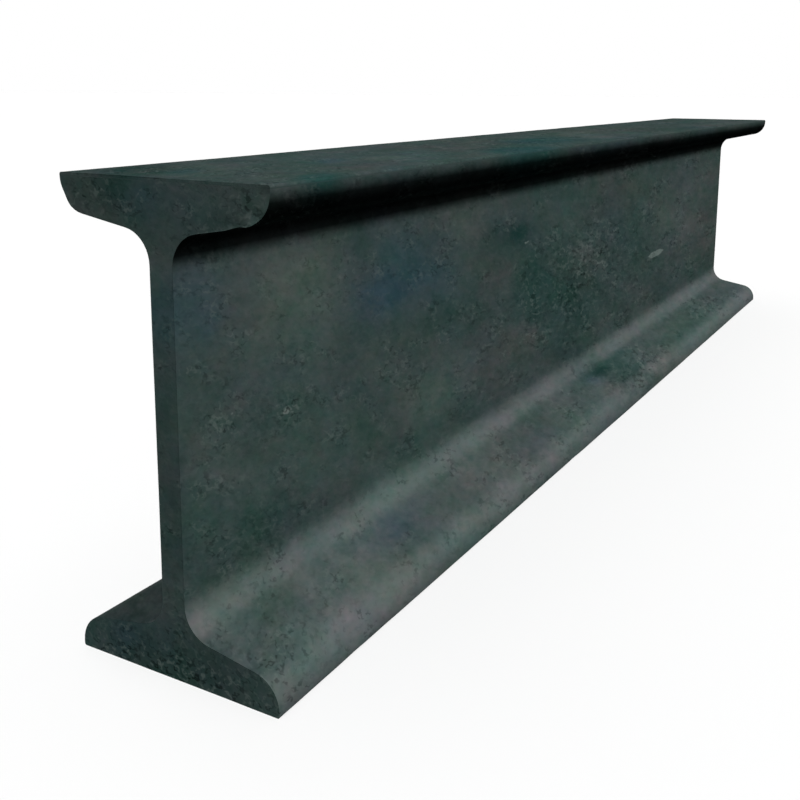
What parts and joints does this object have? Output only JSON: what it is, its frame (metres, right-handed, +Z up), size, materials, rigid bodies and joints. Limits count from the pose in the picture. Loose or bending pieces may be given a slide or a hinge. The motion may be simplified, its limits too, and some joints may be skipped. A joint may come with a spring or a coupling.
{
  "type": "steel i-beam",
  "caption": "Length of hot-rolled steel I-beam with a central web, tapered flanges, rounded roots and toes, and square-cut ends.",
  "frame": {"origin": "middle of the underside of the bottom flange, half-way along the beam, on the floor the beam stands on", "axes": "+X along the beam's length, +Y across the flanges at right angles to the web, +Z up the depth of the section"},
  "size_m": [0.885, 0.102, 0.2],
  "materials": {
    "mill_scale": "hot-rolled mill scale: dark grey-green, semi-matt, mottled with blue-grey and brown patches, fine speckle, small pale chips and light scratches"
  },
  "bodies": {
    "root": {"i_beam": "mill_scale"}
  },
  "joints": []
}
